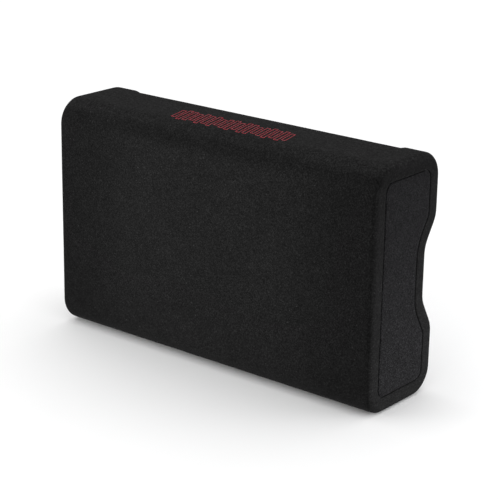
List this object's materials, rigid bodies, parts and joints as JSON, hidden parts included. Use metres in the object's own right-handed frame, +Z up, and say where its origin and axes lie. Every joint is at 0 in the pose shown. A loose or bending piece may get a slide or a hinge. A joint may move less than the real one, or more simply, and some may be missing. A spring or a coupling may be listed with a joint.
{
  "type": "powered car subwoofer",
  "caption": "Slim carpeted box subwoofer: shallow woofer behind a wire guard, amplifier plate beside it, waisted front, plain back.",
  "frame": {"origin": "centre of the bounding box's base, on the surface that the box stands on", "axes": "+Z up, +X along the width with the amplifier on the +X side, +Y towards the plain back; the woofer faces -Y"},
  "size_m": [0.5, 0.132, 0.3055],
  "materials": {
    "mdf": "raw medium density fibreboard",
    "carpet": "short black needle-punch carpet",
    "emblem_thread": "crimson satin stitch",
    "basket_steel": "black textured powder coat",
    "black_screws": "black oxide",
    "foam_gasket": "closed-cell foam",
    "surround_rubber": "satin butyl rubber",
    "cone_pulp": "ribbed black pulp",
    "coil_former": "amber film",
    "copper": "enamelled copper",
    "spider_cloth": "resin-dipped cotton",
    "motor_steel": "zinc plated",
    "ferrite": "sintered ferrite",
    "tab_brass": "tinned brass",
    "face_plate_aluminium": "black fine-texture coat",
    "black_plastic": "moulded nylon",
    "knob_plastic": "satin ABS",
    "socket_plastic": "natural nylon",
    "plated_shell": "nickel plate",
    "fuse_plastic": "tinted polycarbonate",
    "light_lens": "tinted lens",
    "board_laminate": "solder-masked glass laminate",
    "component_black": "component cases",
    "lead_jacket": "PVC insulation"
  },
  "bodies": {
    "cabinet": {"amp_face_plate": "face_plate_aluminium", "amp_rear_cover": "basket_steel", "back_panel": "mdf", "blade_fuse": "fuse_plastic", "bottom_panel": "mdf", "capacitors": "component_black", "carpet_base_strip": "carpet", "carpet_wrap": "carpet", "centre_brace": "mdf", "choke": "component_black", "circuit_board": "board_laminate", "front_baffle": "mdf", "fuse_holder": "black_plastic", "guard_clamps": "basket_steel", "lead_grommet": "surround_rubber", "left_end_carpet": "carpet", "left_end_frame": "mdf", "left_end_panel": "mdf", "lower_front_rail": "mdf", "magnet_boot": "surround_rubber", "mounting_gasket": "foam_gasket", "phono_jacks": "plated_shell", "plate_screws": "black_screws", "pole_yoke": "motor_steel", "potentiometers": "black_plastic", "power_strip": "black_plastic", "power_transistors": "component_black", "rear_lower_corner": "mdf", "rear_upper_corner": "mdf", "remote_socket": "black_plastic", "right_end_carpet": "carpet", "right_end_frame": "mdf", "right_end_panel": "mdf", "ring_magnet": "ferrite", "slide_switch_bodies": "black_plastic", "speaker_input_socket": "socket_plastic", "speaker_leads": "lead_jacket", "speaker_terminals": "tab_brass", "status_light": "light_lens", "strip_screws": "plated_shell", "surround_trim_ring": "surround_rubber", "top_emblem": "emblem_thread", "top_panel": "mdf", "top_plate": "motor_steel", "upper_front_rail": "mdf", "wire_guard": "basket_steel", "woofer_basket": "basket_steel", "woofer_screws": "black_screws"},
    "cone_assembly": {"cone": "cone_pulp", "dust_cap": "cone_pulp", "voice_coil_former": "coil_former", "voice_coil_winding": "copper", "spider": "spider_cloth", "surround": "surround_rubber", "tinsel_leads": "tab_brass"},
    "gain_knob": {"gain_knob": "knob_plastic"},
    "crossover_knob": {"crossover_knob": "knob_plastic"},
    "bass_boost_knob": {"bass_boost_knob": "knob_plastic"},
    "phase_slider": {"phase_slider": "knob_plastic"},
    "auto_on_slider": {"auto_on_slider": "knob_plastic"}
  },
  "joints": [
    {"name": "cone_travel", "type": "slide", "parent": "cabinet", "child": "cone_assembly", "axis": [0, -1, 0], "range_m": [-0.006, 0.006], "stiffness_N_per_m": 4000, "deforming": ["surround", "spider", "tinsel_leads"]},
    {"name": "gain_turn", "type": "hinge", "parent": "cabinet", "child": "gain_knob", "pos_m": [0.0921, -0.0526, 0.226], "axis": [0, 1, 0], "range_deg": [-150, 150]},
    {"name": "crossover_turn", "type": "hinge", "parent": "cabinet", "child": "crossover_knob", "pos_m": [0.1341, -0.0526, 0.226], "axis": [0, 1, 0], "range_deg": [-150, 150]},
    {"name": "bass_boost_turn", "type": "hinge", "parent": "cabinet", "child": "bass_boost_knob", "pos_m": [0.1761, -0.0526, 0.226], "axis": [0, 1, 0], "range_deg": [-150, 150]},
    {"name": "phase_slide", "type": "slide", "parent": "cabinet", "child": "phase_slider", "axis": [1, 0, 0], "range_m": [0, 0.004]},
    {"name": "auto_on_slide", "type": "slide", "parent": "cabinet", "child": "auto_on_slider", "axis": [1, 0, 0], "range_m": [0, 0.004]}
  ]
}
